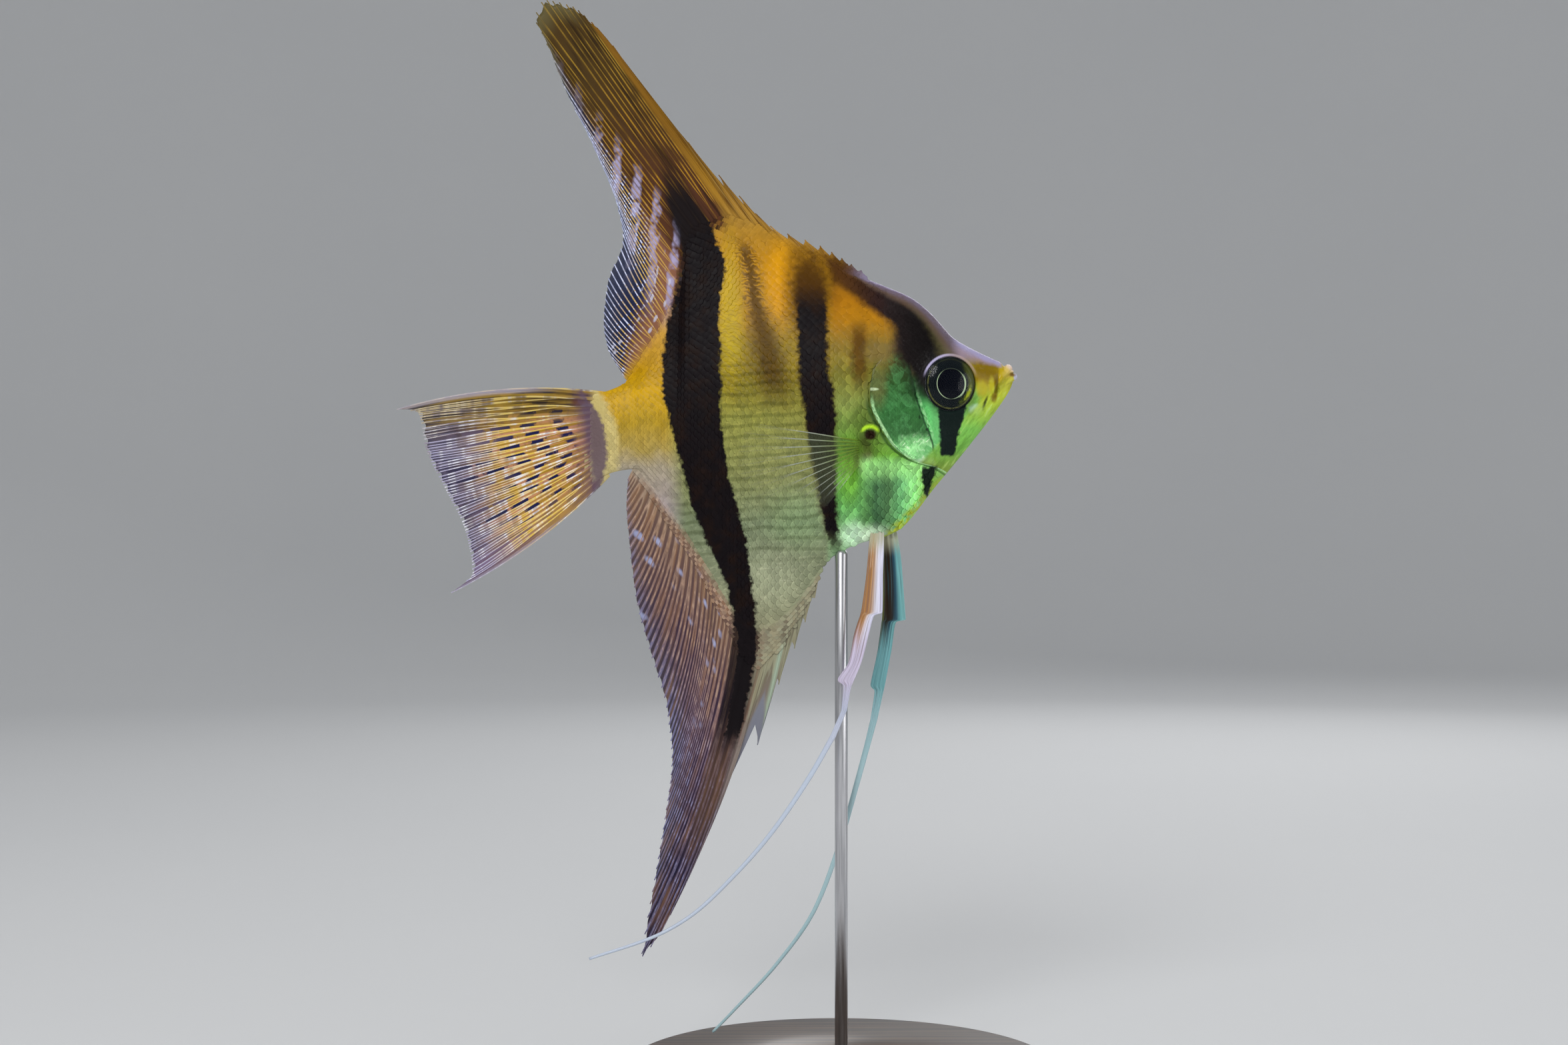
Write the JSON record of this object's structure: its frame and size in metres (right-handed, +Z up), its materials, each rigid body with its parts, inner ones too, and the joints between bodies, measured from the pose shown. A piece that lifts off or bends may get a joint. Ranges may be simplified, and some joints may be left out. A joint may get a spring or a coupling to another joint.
{
  "type": "freshwater angelfish on a display stand",
  "caption": "Life-size freshwater angelfish with tall dorsal and anal fins, tail fan and trailing pelvic threads, held over a round base by a slim rod.",
  "frame": {"origin": "centre of the display base's underside", "axes": "+X to the snout, +Y to the fish's left side, +Z up"},
  "size_m": [0.1339, 0.088, 0.2213],
  "materials": {
    "skin": "wet scaled skin, gold and olive with near-black bars",
    "gill_cover": "smooth iridescent green skin",
    "eye": "clear wet dome over a black iris",
    "fin": "bony rays in thin translucent skin",
    "pectoral_fin": "nearly clear skin between fine rays",
    "pelvic_fin": "pale blue-white rays with dark and orange streaks",
    "stand_base": "dark stained wood, satin varnish",
    "stand_rod": "brushed"
  },
  "bodies": {
    "root": {"head": "skin", "lower_jaw": "skin", "gill_cover_left": "gill_cover", "gill_cover_right": "gill_cover", "trunk": "skin", "tail_base": "skin", "eye_left": "eye", "eye_right": "eye", "dorsal_fin": "fin", "anal_fin": "fin", "caudal_fin": "fin", "pectoral_fin_left": "pectoral_fin", "pectoral_fin_right": "pectoral_fin", "pelvic_fin_left": "pelvic_fin", "pelvic_fin_right": "pelvic_fin", "stand_base": "stand_base", "stand_rod": "stand_rod"}
  },
  "joints": []
}
